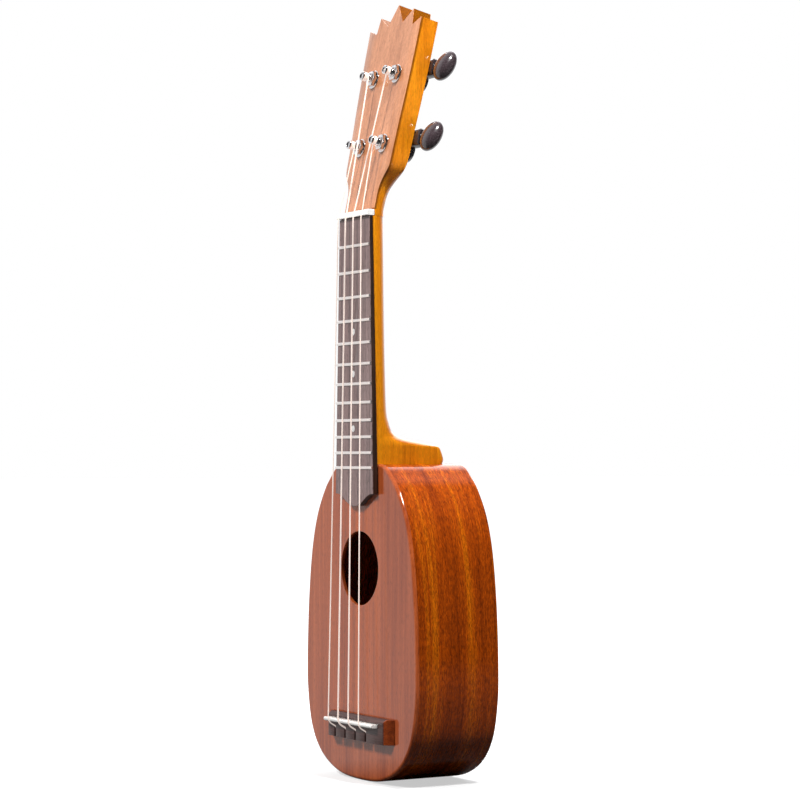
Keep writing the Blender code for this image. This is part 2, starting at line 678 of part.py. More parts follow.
def build_strings():
    """Four strings, each from the inner side of its post over the nut and the saddle into its tie slot."""
    body_face = Matrix.Rotation(math.pi / 2, 4, "X")
    head_face = Matrix.Translation((0, 0, HEAD_START)) @ Matrix.Rotation(math.pi / 2 - HEAD_TILT, 4, "X")
    clear = 0.1 * MM
    for index, name in enumerate(STRING_NAMES):
        side, row = TUNERS[name]
        radius = STRING_RADIUS[name]
        at_nut = string_x(index, STRING_SPREAD_NUT, STRING_SHIFT_NUT)
        at_saddle = string_x(index, STRING_SPREAD_SADDLE, STRING_SHIFT_SADDLE)
        lift = radius + clear
        post_side = side * (POST_OUT - POST_WAIST_RADIUS - 3 * lift)
        points = [
            head_face @ Vector((post_side, POST_UP[row], POST_WAIST)),
            body_face @ Vector((at_nut, FIT + NUT_THICKNESS, nut_height(FIT + NUT_THICKNESS) + lift)),
            body_face @ Vector((at_nut, NUT_THICKNESS / 2, nut_height(NUT_THICKNESS / 2) + lift + 0.3 * MM)),
            body_face @ Vector((at_nut, 0, NUT_TOP + lift)),
            body_face @ Vector((at_saddle, SADDLE_LINE + SADDLE_THICKNESS / 3, SADDLE_TOP + lift)),
            body_face @ Vector((at_saddle, SADDLE_LINE - SADDLE_THICKNESS / 4, SADDLE_TOP + lift)),
            body_face @ Vector((at_saddle, SADDLE_LINE - SADDLE_THICKNESS / 2 - 1.4 * MM, SADDLE_TOP - 1.2 * MM)),
            body_face @ Vector((at_saddle, TIE_SLOT_START - 1.2 * MM, BRIDGE_HEIGHT - 0.6 * MM)),
            body_face @ Vector((at_saddle, BRIDGE_TAIL_EDGE - 0.6 * MM, TIE_SLOT_FLOOR + 1.2 * MM)),
        ]
        curve = bpy.data.curves.new(f"string_{name}", "CURVE")
        curve.dimensions = "3D"
        curve.bevel_depth = radius
        curve.bevel_resolution = 2
        curve.use_fill_caps = True
        spline = curve.splines.new("POLY")
        spline.points.add(len(points) - 1)
        for point, place in zip(spline.points, points):
            point.co = (*place, 1)
        curve.materials.append(material("nylon"))
        obj = bpy.data.objects.new(f"string_{name}", curve)
        bpy.context.scene.collection.objects.link(obj)


def main():
    clear_scene()
    body = plane("body_plane", (0, 0, 0), 0)
    head = plane("head_plane", (0, 0, HEAD_START), HEAD_TILT)
    build_plates(body)
    build_rim(body)
    build_inner_frame(body)
    build_neck(head)
    build_fretboard(body)
    build_nut(body)
    build_bridge(body)
    build_tuners(head)
    build_strings()


main()
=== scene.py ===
"""Looks of a soprano pineapple ukulele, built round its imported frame.

The frame's +Z runs up the neck, +Y from the soundboard to the back, and +X is to the right of somebody who
faces the strings. Lengths are in metres, written as millimetres times MM, and repeat the solids' own.
The tables of outlines, sections and profiles are in millimetres.
"""

import math

import bmesh
import bpy
from mathutils import Matrix, Vector


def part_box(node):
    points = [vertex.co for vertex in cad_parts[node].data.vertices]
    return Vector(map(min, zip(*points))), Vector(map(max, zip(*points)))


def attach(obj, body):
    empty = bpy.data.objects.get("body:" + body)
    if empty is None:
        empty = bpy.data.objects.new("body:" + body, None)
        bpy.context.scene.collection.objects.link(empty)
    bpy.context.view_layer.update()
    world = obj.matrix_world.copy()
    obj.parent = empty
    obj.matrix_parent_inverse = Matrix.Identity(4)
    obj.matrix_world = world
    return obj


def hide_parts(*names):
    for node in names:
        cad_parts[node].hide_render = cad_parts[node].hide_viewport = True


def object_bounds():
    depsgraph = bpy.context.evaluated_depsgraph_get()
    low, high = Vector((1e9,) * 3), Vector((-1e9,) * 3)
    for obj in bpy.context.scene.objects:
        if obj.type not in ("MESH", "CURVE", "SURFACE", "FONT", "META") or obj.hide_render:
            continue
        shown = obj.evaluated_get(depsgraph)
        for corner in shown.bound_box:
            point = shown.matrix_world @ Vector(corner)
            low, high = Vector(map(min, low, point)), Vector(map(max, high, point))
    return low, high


MM = 0.001
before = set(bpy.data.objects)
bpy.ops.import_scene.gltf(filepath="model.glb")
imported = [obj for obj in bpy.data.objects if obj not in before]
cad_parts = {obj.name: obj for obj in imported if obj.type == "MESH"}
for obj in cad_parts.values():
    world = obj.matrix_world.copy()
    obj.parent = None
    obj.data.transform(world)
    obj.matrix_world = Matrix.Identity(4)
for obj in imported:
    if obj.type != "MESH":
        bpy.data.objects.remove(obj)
CAD_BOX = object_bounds()
ROOT = "instrument"

# Body
BODY_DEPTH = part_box("back")[1].y
PLATE = 2.2 * MM
SIDE = 2.0 * MM
LIP = 0.15 * MM  # a narrow flat ring next to a rounded edge, so that the rounding ends there
# (distance from the middle, distance up) from the tail to the neck
HALF_OUTLINE = (
    (0, -387), (30, -384.7), (54, -374.3), (68.5, -357), (75, -332), (76, -306), (74, -267),
    (69.2, -231), (61.6, -206), (50.5, -187.5), (41.5, -178.2), (33, -171.6), (22, -169.8), (0, -169.6),
)
HOLE_CENTRE = -241.8 * MM
HOLE_RADIUS = 25.4 * MM
HOLE_EASE = 0.55 * MM
LEFT_GRAIN = 0.37  # the left side's grain starts this far from the right side's, so the two differ

# Neck, headstock and tuners
HEAD_TILT = math.radians(12.4)
HEAD_START = 6.8 * MM
HEAD_THICKNESS = 14 * MM
BODY_TOP = -169.6 * MM
NECK_RISE = 1.4 * MM  # the neck's face comes forward by this much from the body to the nut
NECK_END = (20.8, 14, 2.1)  # half width, depth and squareness of the neck at the nut
NECK_EASE = 0.35 * MM
# (distance up, half width, depth, squareness of the section)
NECK_SECTIONS = (
    (-170.3, 24.3, 54.8, 10), (-168.5, 24.3, 56, 10), (-166, 24.3, 56.3, 10), (-161, 24.3, 54.5, 10),
    (-158.5, 24.3, 53, 10), (-157, 24.3, 52.6, 5), (-155, 24.2, 46.5, 2.8), (-152, 24.1, 31, 2.1),
    (-148.5, 24, 22, 2.2), (-145.5, 23.9, 19, 2.3), (-142, 23.8, 17.9, 2.2), (-134, 23.6, 16, 2.1),
    (-110, 23.1, 15, 2.1), (-70, 22.3, 14.3, 2.1), (-0.1, 20.8, 14, 2.1),
)
HEAD_SECTIONS = (
    (0, 20.7, 14, 2.3), (7, 20.7, 14, 2.4), (11, 20.9, 14, 2.6), (15, 21.8, 14, 2.9), (19, 23.8, 14, 3.3),
    (23, 26.6, 14, 3.7), (26.5, 29, 14, 4.2), (30, 30, 14, 5), (38, 30.4, 14, 7), (55, 31.3, 14, 9),
    (78, 33, 14, 9), (98, 34, 14, 9), (118, 34.7, 14, 9), (127, 34.9, 14, 9),
)
SQUARING = (12, 26)  # where the headstock's round back starts to turn flat, and over what length
# (distance from the middle, distance up) of the points and notches
CROWN = ((0, 148), (10, 133.8), (22.3, 141.8), (24.4, 129.8), (35, 134))
CROWN_RUN_ON = (36, 134.4)  # the last slope goes on to here
BORE_RADIUS = 4.3 * MM
POST_OUT = 15.6 * MM
POST_UP = {"lower": 45.2 * MM, "upper": 95.4 * MM}
TUNERS = {"g": (-1, "lower"), "c": (-1, "upper"), "e": (1, "upper"), "a": (1, "lower")}
POST_WAIST = 7 * MM
POST_WAIST_RADIUS = 2.1 * MM
POST_CUT = -3 * MM  # above this the post is the turned one, and below it the solid's own
WORM_OFFSET = 7.0 * MM
WORM_DEPTH = 4.8 * MM
DRUM_RADIUS = 8.8 * MM
EAR_TOP, EAR_BOTTOM = 1.4 * MM, -1.6 * MM
BUTTON_START = 22.8 * MM
BUTTON_LENGTH = 17.2 * MM
BUTTON_TURN = math.radians(-16.5)

# Strings
SADDLE_LINE = -347 * MM
STRING_GAP = 0.05 * MM
STRING_BEND = 1.6 * MM
WINDING_GAP = 0.12 * MM
WINDING_PITCH = 2.05  # of the string's radius
STRING_RADIUS = {"g": 0.42 * MM, "c": 0.55 * MM, "e": 0.5 * MM, "a": 0.42 * MM}
NUT_X = {"g": -17.5 * MM, "c": -6.833 * MM, "e": 3.833 * MM, "a": 14.5 * MM}
SADDLE_X = {"g": -23 * MM, "c": -9 * MM, "e": 5 * MM, "a": 19 * MM}
NUT_TOP = 6.8 * MM
SADDLE_TOP = 11.3 * MM
SADDLE_THICKNESS = 2.6 * MM
NUT_HIGH = 4.4 * MM
BRIDGE_HEIGHT = 6.3 * MM
TIE_SLOT_FLOOR = 1.4 * MM
TIE_SLOT_START = -351 * MM
BRIDGE_TAIL_EDGE = -359 * MM

HEAD_FACE = Matrix.Translation((0, 0, HEAD_START)) @ Matrix.Rotation(math.pi / 2 - HEAD_TILT, 4, "X")
BODY_FACE = Matrix.Rotation(math.pi / 2, 4, "X")


# Materials ----------------------------------------------------------------------------------------


class Nodes:
    """Short calls for the nodes used here. Each value is a plain one, or a socket to link."""

    def __init__(self, tree):
        self.tree = tree

    def feed(self, socket, value):
        if isinstance(value, bpy.types.NodeSocket):
            self.tree.links.new(value, socket)
        else:
            socket.default_value = value

    def node(self, kind, **inputs):
        made = self.tree.nodes.new(kind)
        for key, value in inputs.items():
            self.feed(made.inputs[key.replace("_", " ")], value)
        return made

    def ramp(self, factor, stops):
        made = self.node("ShaderNodeValToRGB", Fac=factor)
        ramp = made.color_ramp
        ramp.elements[0].position, ramp.elements[0].color = stops[0][0], (*stops[0][1], 1)
        ramp.elements[1].position, ramp.elements[1].color = stops[-1][0], (*stops[-1][1], 1)
        for position, color in stops[1:-1]:
            ramp.elements.new(position).color = (*color, 1)
        return made.outputs["Color"]

    def limits(self, factor, low, high, to_low=0.0, to_high=1.0):
        made = self.node("ShaderNodeMapRange", Value=factor)
        for index, value in enumerate((low, high, to_low, to_high), 1):
            made.inputs[index].default_value = value
        return made.outputs[0]

    def math(self, operation, a, b=0.0):
        made = self.tree.nodes.new("ShaderNodeMath")
        made.operation = operation
        self.feed(made.inputs[0], a)
        self.feed(made.inputs[1], b)
        return made.outputs[0]

    def measure(self, operation, a, b=(0, 0, 0)):
        """A number from vectors: DOT_PRODUCT or LENGTH."""
        made = self.tree.nodes.new("ShaderNodeVectorMath")
        made.operation = operation
        self.feed(made.inputs[0], a)
        self.feed(made.inputs[1], b)
        return made.outputs["Value"]

    def mix(self, factor, a, b, blend="MIX"):
        made = self.tree.nodes.new("ShaderNodeMix")
        made.data_type = "RGBA"
        made.blend_type = blend
        for socket, value in ((made.inputs[0], factor), (made.inputs[6], a), (made.inputs[7], b)):
            self.feed(socket, (*value, 1) if isinstance(value, tuple) else value)
        return made.outputs[2]


class Shader(Nodes):
    """A Principled material."""

    def __init__(self, name, **settings):
        self.material = bpy.data.materials.new(name)
        self.material.use_nodes = True
        super().__init__(self.material.node_tree)
        self.out = self.tree.nodes["Principled BSDF"]
        for key, value in settings.items():
            self.out.inputs[key.replace("_", " ")].default_value = value

    def link(self, socket, name):
        self.tree.links.new(socket, self.out.inputs[name])

    def place(self, scale=(1, 1, 1), uv=None, offset=(0, 0, 0)):
        """Object coordinates, or a UV map's, scaled per axis."""
        if uv:
            source = self.tree.nodes.new("ShaderNodeUVMap")
            source.uv_map = uv
            socket = source.outputs["UV"]
        else:
            socket = self.node("ShaderNodeTexCoord").outputs["Object"]
        return self.node("ShaderNodeMapping", Vector=socket, Scale=scale, Location=offset).outputs[0]

    def noise(self, vector, detail, rough=0.5, distortion=0.0):
        made = self.node("ShaderNodeTexNoise", Vector=vector, Scale=1.0, Detail=detail,
                         Roughness=rough, Distortion=distortion)
        return made.outputs["Fac"]

    def bump(self, height, strength, distance):
        made = self.node("ShaderNodeBump", Height=height, Strength=strength, Distance=distance)
        self.link(made.outputs[0], "Normal")


# How dark the painted shade on the headstock is.
PAINTED_SHADE_SHARE = 0.85
FINE = (900, 900, 900)  # the scale of noise in cells of about a millimetre


def lacquered_wood(name, tones, across=1.0, fleck=0.35, speckle=0.1, lines=0.25, uv=None,
                   face_haze=None, coat=1.0):
    """Straight-grained wood under gloss lacquer: broad ribbons, fine fibres, short dark pores and flecks.

    With uv, the grain runs along that map's U. Given face tones, the headstock's face takes them as a painted
    reflection haze, with painted shade along the face's edge and on the crown's ends.
    """
    shader = Shader(name, Roughness=0.38, Coat_Weight=coat, Coat_Roughness=0.03, Coat_IOR=1.5)
    shader.out.inputs["Specular IOR Level"].default_value = 0.06

    def scaled(side, along):
        return (along, side, 1) if uv else (side, side, along)

    broad = shader.noise(shader.place(scaled(85 * across, 3.0), uv), 2, 0.5, 0.6)
    wide = shader.noise(shader.place(scaled(24 * across, 2.2), uv, (3, 1, 7)), 1, 0.5, 0.3)
    line = shader.noise(shader.place(scaled(420 * across, 5), uv, (8, 2, 3)), 2, 0.6, 0.4)
    fibre = shader.noise(shader.place(scaled(1000, 26), uv), 3, 0.6, 0.2)
    pores = shader.noise(shader.place(scaled(1500, 190), uv, (5, 2, 1)), 2, 0.5)
    figure = shader.math("ADD", shader.math("MULTIPLY", broad, 0.62), shader.math("MULTIPLY", wide, 0.38))
    figure = shader.math("ADD", figure, shader.math("MULTIPLY", shader.math("SUBTRACT", fibre, 0.5), 0.22))
    figure = shader.math("ADD", figure, shader.math("MULTIPLY", shader.math("SUBTRACT", line, 0.5), lines))

    def toned(shades):
        return shader.ramp(figure, ((0.34, shades[0]), (0.5, shades[1]), (0.66, shades[2])))

    color = toned(tones)
    if face_haze:
        on_face, shade_mask, end = headstock_face(shader)
        # Painted shade: a dark line along the face's edge and darker crown ends.
        color = shader.mix(shade_mask, color, tuple(0.3 * c for c in tones[0]))
        shader.link(shader.limits(end, 0, 1, coat, 0.05), "Coat Weight")
        # Painted reflection haze: the headstock's face in its own paler, pinker tones of the same wood.
        color = shader.mix(on_face, color, toned(face_haze))
    mottle = shader.noise(shader.place(scaled(1150, 300), uv, (1, 6, 2)), 2, 0.6, 0.8)
    color = shader.mix(1.0, color, shader.limits(mottle, 0.35, 0.65, 1 - speckle, 1 + speckle), "MULTIPLY")
    dark = tuple(0.35 * c for c in tones[0])
    color = shader.mix(shader.limits(pores, 0.56, 0.70, 0.0, fleck), color, dark)
    shader.link(color, "Base Color")
    shader.link(shader.limits(fibre, 0.3, 0.7, 0.30, 0.46), "Roughness")
    shader.bump(pores, 0.22, 0.0001)
    return shader.material


def headstock_face(shader):
    """Masks for the headstock's face, which takes a painted reflection haze, for painted shade (a shadow line
    next to the face, and on the crown's end grain), and for the end grain alone."""
    place = shader.node("ShaderNodeTexCoord").outputs["Object"]
    split = shader.node("ShaderNodeSeparateXYZ", Vector=place).outputs
    sine, cosine = math.sin(HEAD_TILT), math.cos(HEAD_TILT)
    height = shader.measure("DOT_PRODUCT", place, (0, -cosine, sine))
    up = shader.measure("DOT_PRODUCT", place, (0, sine, cosine))
    face, start = HEAD_START * sine, HEAD_START * cosine  # height and up, at the face's lower edge
    back = face - HEAD_THICKNESS
    above_nut = shader.limits(split["Z"], 4.4 * MM, 4.8 * MM)
    # Where the face's painted reflection haze goes.
    face_haze = shader.limits(height, face - 0.3 * MM, face - 0.15 * MM)
    face_haze = shader.math("MULTIPLY", face_haze, above_nut)
    # Painted shadow line just below the face's edge.
    shade_mask = shader.limits(height, face - 2.4 * MM, face - 1.2 * MM, 0.0, PAINTED_SHADE_SHARE)
    end = shader.limits(up, start + 128 * MM, start + 129 * MM)
    in_front = shader.limits(height, back + 0.1 * MM, back + 0.3 * MM)
    inside = shader.limits(shader.math("ABSOLUTE", split["X"]), 34.5 * MM, 34.3 * MM)
    for mask in (in_front, inside, shader.math("SUBTRACT", 1.0, face_haze)):
        end = shader.math("MULTIPLY", end, mask)
    # The crown's end grain takes painted shade as well.
    shade_mask = shader.math("MAXIMUM", shade_mask, shader.math("MULTIPLY", end, PAINTED_SHADE_SHARE))
    return face_haze, shader.math("MULTIPLY", shade_mask, above_nut), end


def dark_wood(name, tones, face_tones, face, roughness, coat, crosswise=False, block=None):
    """Open-grained rosewood: dark streaks, many short pores and a waxy sheen.

    Face tones are for what is in front of y = face, and inside a block's (middle, half width) along x.
    The two sets are painted light and shade: one wood, toned apart on its face and on its sides or ends.
    """
    shader = Shader(name, Coat_Weight=coat, Coat_Roughness=0.3)
    shader.out.inputs["Specular IOR Level"].default_value = 0.35

    def scale(side, along):
        return (along, side, side) if crosswise else (side, side, along)

    streak = shader.noise(shader.place(scale(260, 7)), 4, 0.6, 0.8)
    fine = shader.noise(shader.place(scale(1400, 60)), 2, 0.5)
    pores = shader.noise(shader.place(scale(1700, 240), offset=(2, 4, 6)), 2, 0.5)
    figure = shader.math("ADD", shader.math("MULTIPLY", streak, 0.75), shader.math("MULTIPLY", fine, 0.25))
    color, on_face = (shader.ramp(figure, ((0.32, shades[0]), (0.52, shades[1]), (0.7, shades[2])))
                      for shades in (tones, face_tones))
    split = shader.node("ShaderNodeSeparateXYZ", Vector=shader.place()).outputs
    mask = shader.limits(split["Y"], face, face - 0.1 * MM)
    if block:
        middle, half = block
        across = shader.math("ABSOLUTE", shader.math("SUBTRACT", split["X"], middle))
        mask = shader.math("MAXIMUM", mask, shader.limits(across, half, half - 0.2 * MM))
    # Painted light and shade: the face and the rest take separate lit and shaded tone sets.
    color = shader.mix(mask, color, on_face)
    color = shader.mix(shader.limits(pores, 0.57, 0.68, 0.0, 0.55), color, tuple(0.4 * c for c in tones[0]))
    shader.link(color, "Base Color")
    shader.link(shader.limits(streak, 0.3, 0.7, roughness - 0.06, roughness + 0.08), "Roughness")
    shader.bump(pores, 0.5, 0.00015)
    return shader.material


def bare_spruce():
    shader = Shader("spruce", Roughness=0.65)
    lines = shader.noise(shader.place((500, 500, 8)), 2, 0.5)
    shader.link(shader.ramp(lines, ((0.35, (0.36, 0.2, 0.09)), (0.6, (0.55, 0.36, 0.19)))), "Base Color")
    shader.bump(lines, 0.3, 0.0002)
    return shader.material


def bone():
    shader = Shader("bone", Roughness=0.28, Coat_Weight=0.4, Coat_Roughness=0.12)
    cloud = shader.noise(shader.place((160, 160, 60)), 3, 0.6)
    shader.link(shader.ramp(cloud, ((0.35, (0.93, 0.9, 0.86)), (0.65, (0.97, 0.95, 0.92)))), "Base Color")
    shader.bump(shader.noise(shader.place(FINE), 2), 0.1, 0.00005)
    return shader.material


def metal(name, color, roughness, wear=0.06):
    """Plated or turned metal with faint polishing marks."""
    shader = Shader(name, Metallic=1.0)
    marks = shader.noise(shader.place(FINE), 3, 0.6)
    dark = tuple(c * 0.86 for c in color)
    shader.link(shader.mix(marks, dark, color), "Base Color")
    shader.link(shader.limits(marks, 0.3, 0.7, max(roughness - wear, 0.02), roughness + wear), "Roughness")
    shader.bump(marks, 0.06, 0.00004)
    return shader.material


def pearl():
    shader = Shader("pearl", Roughness=0.2, Coat_Weight=0.6, Coat_Roughness=0.08)
    swirl = shader.noise(shader.place((500, 500, 500)), 3, 0.6, 1.5)
    stops = ((0.35, (0.62, 0.66, 0.66)), (0.5, (0.86, 0.84, 0.8)), (0.65, (0.9, 0.86, 0.88)))
    shader.link(shader.ramp(swirl, stops), "Base Color")
    return shader.material


def nylon():
    """Clear strings with a painted glow: emission that stands in for the light that they gather."""
    shader = Shader("nylon", Roughness=0.3, IOR=1.53, Emission_Color=(1, 0.85, 0.78, 1),
                    Emission_Strength=0.54)
    cloud = shader.noise(shader.place((300, 300, 30)), 2)
    shader.link(shader.ramp(cloud, ((0.3, (0.66, 0.53, 0.45)), (0.7, (0.75, 0.63, 0.55)))), "Base Color")
    return shader.material


def moulded(name, color, roughness):
    """Polished moulded plastic or lacquered metal, with a very fine orange-peel."""
    shader = Shader(name, Coat_Weight=1.0, Coat_Roughness=0.07)
    peel = shader.noise(shader.place(FINE), 2)
    light = tuple(c * 1.35 for c in color)
    shader.link(shader.mix(peel, color, light), "Base Color")
    shader.link(shader.limits(peel, 0.3, 0.7, roughness - 0.04, roughness + 0.05), "Roughness")
    shader.bump(peel, 0.02, 0.00002)
    return shader.material


# Dark, middle and light tones
TOP_TONES = ((0.3, 0.05, 0.012), (0.45, 0.09, 0.022), (0.56, 0.125, 0.034))
SIDE_TONES = ((0.15, 0.017, 0.0005), (0.41, 0.062, 0.001), (0.76, 0.19, 0.002))
NECK_TONES = ((0.52, 0.135, 0.003), (0.72, 0.215, 0.004), (0.85, 0.295, 0.006))
# The headstock face's painted reflection haze: the neck's wood, paler and pinker.
FACE_HAZE_TONES = ((0.46, 0.175, 0.075), (0.61, 0.25, 0.115), (0.7, 0.31, 0.155))
# The board's side in a painted shaded tone and its top in a painted lit, hazy tone: one rosewood.
BOARD_SHADED_SIDE_TONES = ((0.012, 0.006, 0.004), (0.03, 0.014, 0.009), (0.06, 0.028, 0.016))
BOARD_LIT_TOP_TONES = ((0.12, 0.072, 0.068), (0.25, 0.162, 0.155), (0.37, 0.25, 0.24))
# The bridge's ends in a painted lit tone and its top in a painted hazy tone: one rosewood.
BRIDGE_LIT_END_TONES = ((0.14, 0.022, 0.004), (0.3, 0.052, 0.009), (0.44, 0.085, 0.016))
BRIDGE_HAZY_TOP_TONES = ((0.022, 0.01, 0.009), (0.095, 0.044, 0.038), (0.2, 0.098, 0.085))
BOARD_FACE = -3.9 * MM
BRIDGE_FACE = -5.8 * MM
BRIDGE_BLOCK = (5 * MM, 37.5 * MM)
MATERIALS = {
    "mahogany_top": lacquered_wood("mahogany_top", TOP_TONES, across=0.9, fleck=0.45, speckle=0.07,
                                   lines=0.4, coat=0.9),
    "mahogany_side": lacquered_wood("mahogany_side", SIDE_TONES, across=0.75, fleck=0.6, speckle=0.4,
                                    lines=0.12, uv="grain"),
    "mahogany_back": lacquered_wood("mahogany_back", SIDE_TONES, across=0.8, fleck=0.45, speckle=0.22),
    "mahogany_neck": lacquered_wood("mahogany_neck", NECK_TONES, across=0.8, fleck=0.3, speckle=0.1,
                                    lines=0.4, face_haze=FACE_HAZE_TONES),
    "rosewood_board": dark_wood("rosewood_board", BOARD_SHADED_SIDE_TONES, BOARD_LIT_TOP_TONES, BOARD_FACE,
                                roughness=0.36, coat=0.25),
    "rosewood_bridge": dark_wood("rosewood_bridge", BRIDGE_LIT_END_TONES, BRIDGE_HAZY_TOP_TONES, BRIDGE_FACE,
                                 roughness=0.42, coat=0.05, crosswise=True, block=BRIDGE_BLOCK),
    "spruce": bare_spruce(),
    "bone": bone(),
    "fret_wire": metal("fret_wire", (0.98, 0.93, 0.9), 0.34),
    "pearl_dot": pearl(),
    "nylon": nylon(),
    "black_housing": moulded("black_housing", (0.022, 0.018, 0.022), 0.28),
    "chrome": metal("chrome", (0.86, 0.85, 0.86), 0.06, wear=0.02),
    "steel_shaft": metal("steel_shaft", (0.72, 0.7, 0.68), 0.2),
    "black_button": moulded("black_button", (0.042, 0.029, 0.033), 0.26),
}


# Mesh helpers -------------------------------------------------------------------------------------


def new_object(name, bm, material, body=ROOT, replaces=(), smooth_angle=38):
    """The bmesh as a piece of the model that rides on a body."""
    bmesh.ops.recalc_face_normals(bm, faces=bm.faces[:])
    mesh = bpy.data.meshes.new(name)
    bm.to_mesh(mesh)
    bm.free()
    mesh.shade_smooth()
    mesh.set_sharp_from_angle(angle=math.radians(smooth_angle))
    mesh.materials.append(MATERIALS[material])
    obj = bpy.data.objects.new(name, mesh)
    bpy.context.scene.collection.objects.link(obj)
    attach(obj, body)
    if replaces:
        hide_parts(*replaces)
    return obj


def dress(node, material):
    """Shows the node's own solid in a material."""
    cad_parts[node].material_slots[0].material = MATERIALS[material]


def loft(rings, closed=False, caps=True):
    """A bmesh skin over rings of equal length. Closed, it joins the last ring to the first."""
    bm = bmesh.new()
    loops = [[bm.verts.new(p) for p in ring] for ring in rings]
    pairs = list(zip(loops, loops[1:]))
    if closed:
        pairs.append((loops[-1], loops[0]))
    elif caps:
        bm.faces.new(loops[0])
        bm.faces.new(loops[-1])
    for one, two in pairs:
        for i in range(len(one)):
            j = (i + 1) % len(one)
            bm.faces.new((one[i], one[j], two[j], two[i]))
    return bm


def circle(radius, segments):
    turn = 2 * math.pi / segments
    return [(radius * math.cos(i * turn), radius * math.sin(i * turn)) for i in range(segments)]


def turned(profile, segments, place):
    """A loft round local z through (radius, height) pairs, moved by a matrix."""
    return loft([[place @ Vector((x, y, h)) for x, y in circle(r, segments)] for r, h in profile])


def catmull_rom(points, steps):
    """Points along the Catmull-Rom curve through all but the first and last of the given vectors."""
    curve = []
    for before, start, end, after in zip(points, points[1:], points[2:], points[3:]):
        for step in range(steps):
            t = step / steps
            curve.append(
                0.5 * (2 * start + (end - before) * t
                       + (2 * before - 5 * start + 4 * end - after) * t * t
                       + (3 * start - before - 3 * end + after) * t ** 3)
            )
    curve.append(points[-2].copy())
    return curve


def bevel(obj, width, segments, angle):
    modifier = obj.modifiers.new("eased edges", "BEVEL")
    modifier.width = width
    modifier.segments = segments
    modifier.limit_method = "ANGLE"
    modifier.angle_limit = math.radians(angle)


def plain_object(name, bm):
    """A helper mesh that is only there until it has been used as a cutter."""
    bmesh.ops.recalc_face_normals(bm, faces=bm.faces[:])
    mesh = bpy.data.meshes.new(name)
    bm.to_mesh(mesh)
    bm.free()
    obj = bpy.data.objects.new(name, mesh)
    bpy.context.scene.collection.objects.link(obj)
    return obj


def carved(obj, cutters):
    """Cuts the helpers out of the object, applies all its modifiers and takes the helpers away."""
    for cutter in cutters:
        modifier = obj.modifiers.new(cutter.name, "BOOLEAN")
        modifier.object = cutter
        modifier.operation = "DIFFERENCE"
        modifier.solver = "EXACT"
    graph = bpy.context.evaluated_depsgraph_get()
    mesh = bpy.data.meshes.new_from_object(obj.evaluated_get(graph))
    obj.modifiers.clear()
    obj.data = mesh
    for cutter in cutters:
        bpy.data.objects.remove(cutter)


def post_place(side, row, up=0.0, depth=0.0):
    """The place of a tuner on the headstock's face. Local z points out of it, and y up the headstock."""
    return HEAD_FACE @ Matrix.Translation((side * POST_OUT, POST_UP[row] + up, depth))


def tube(points, radius, segments):
    """A bmesh tube along a smooth path, without twist."""
    ahead = (points[1] - points[0]).normalized()
    across = ahead.orthogonal().normalized()
    rings = []
    for i, point in enumerate(points):
        along = (points[min(i + 1, len(points) - 1)] - points[max(i - 1, 0)]).normalized()
        across = (across - along * across.dot(along)).normalized()
        other = along.cross(across)
        rings.append([point + radius * (across * x + other * y) for x, y in circle(1, segments)])
    return loft(rings)


def rounded(points, reach, steps=5):
    """The path with every inner corner replaced by a small parabola that starts at most reach from it."""
    path = [points[0]]
    for before, corner, after in zip(points, points[1:], points[2:]):
        back, on = before - corner, after - corner
        start = corner + back.normalized() * min(reach, back.length * 0.45)
        end = corner + on.normalized() * min(reach, on.length * 0.45)
        for i in range(steps + 1):
            s = i / steps
            path.append(start * (1 - s) ** 2 + corner * (2 * s * (1 - s)) + end * s * s)
    path.append(points[-1])
    return path


def eased(node, material, width, segments=2):
    """A copy of a node's solid with eased edges, which replaces it."""
    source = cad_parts[node]
    bm = bmesh.new()
    bm.from_mesh(source.data)
    bmesh.ops.remove_doubles(bm, verts=bm.verts[:], dist=1e-6)
    bmesh.ops.dissolve_limit(bm, angle_limit=math.radians(0.5), verts=bm.verts[:], edges=bm.edges[:])
    bevel(new_object(f"{node}_eased", bm, material, replaces=(node,)), width, segments, 35)


# Body ---------------------------------------------------------------------------------------------


def outline(steps=6):
    """The body's closed outline as points with their outward normals, from the tail up the right side."""
    half = [Vector((x * MM, z * MM)) for x, z in HALF_OUTLINE]
    ends = [Vector((-half[1].x, half[1].y)), *half, Vector((-half[-2].x, half[-2].y))]
    right = catmull_rom(ends, steps)
    left = [Vector((-p.x, p.y)) for p in reversed(right[1:-1])]
    points = right + left
    count = len(points)
    normals = []
    for i in range(count):
        along = (points[(i + 1) % count] - points[i - 1]).normalized()
        normals.append(Vector((along.y, -along.x)))
    return points, normals


def plate_rings(points, normals, face, inside, steps=6):
    """Rings of a plate from its inner face's rim, round its rounded outer edge, to its outer face's rim."""
    radius = PLATE * 0.98
    direction = math.copysign(1, face - inside)
    rings = [[Vector((p.x, inside, p.y)) for p in points]]
    for i in range(steps + 1):
        angle = math.pi / 2 * i / steps
        inset = radius * (1 - math.cos(angle))
        y = face - direction * radius * (1 - math.sin(angle))
        rings.append([Vector((p.x - n.x * inset, y, p.y - n.y * inset)) for p, n in zip(points, normals)])
    inset = radius + LIP
    rings.append([Vector((p.x - n.x * inset, face, p.y - n.y * inset)) for p, n in zip(points, normals)])
    return rings


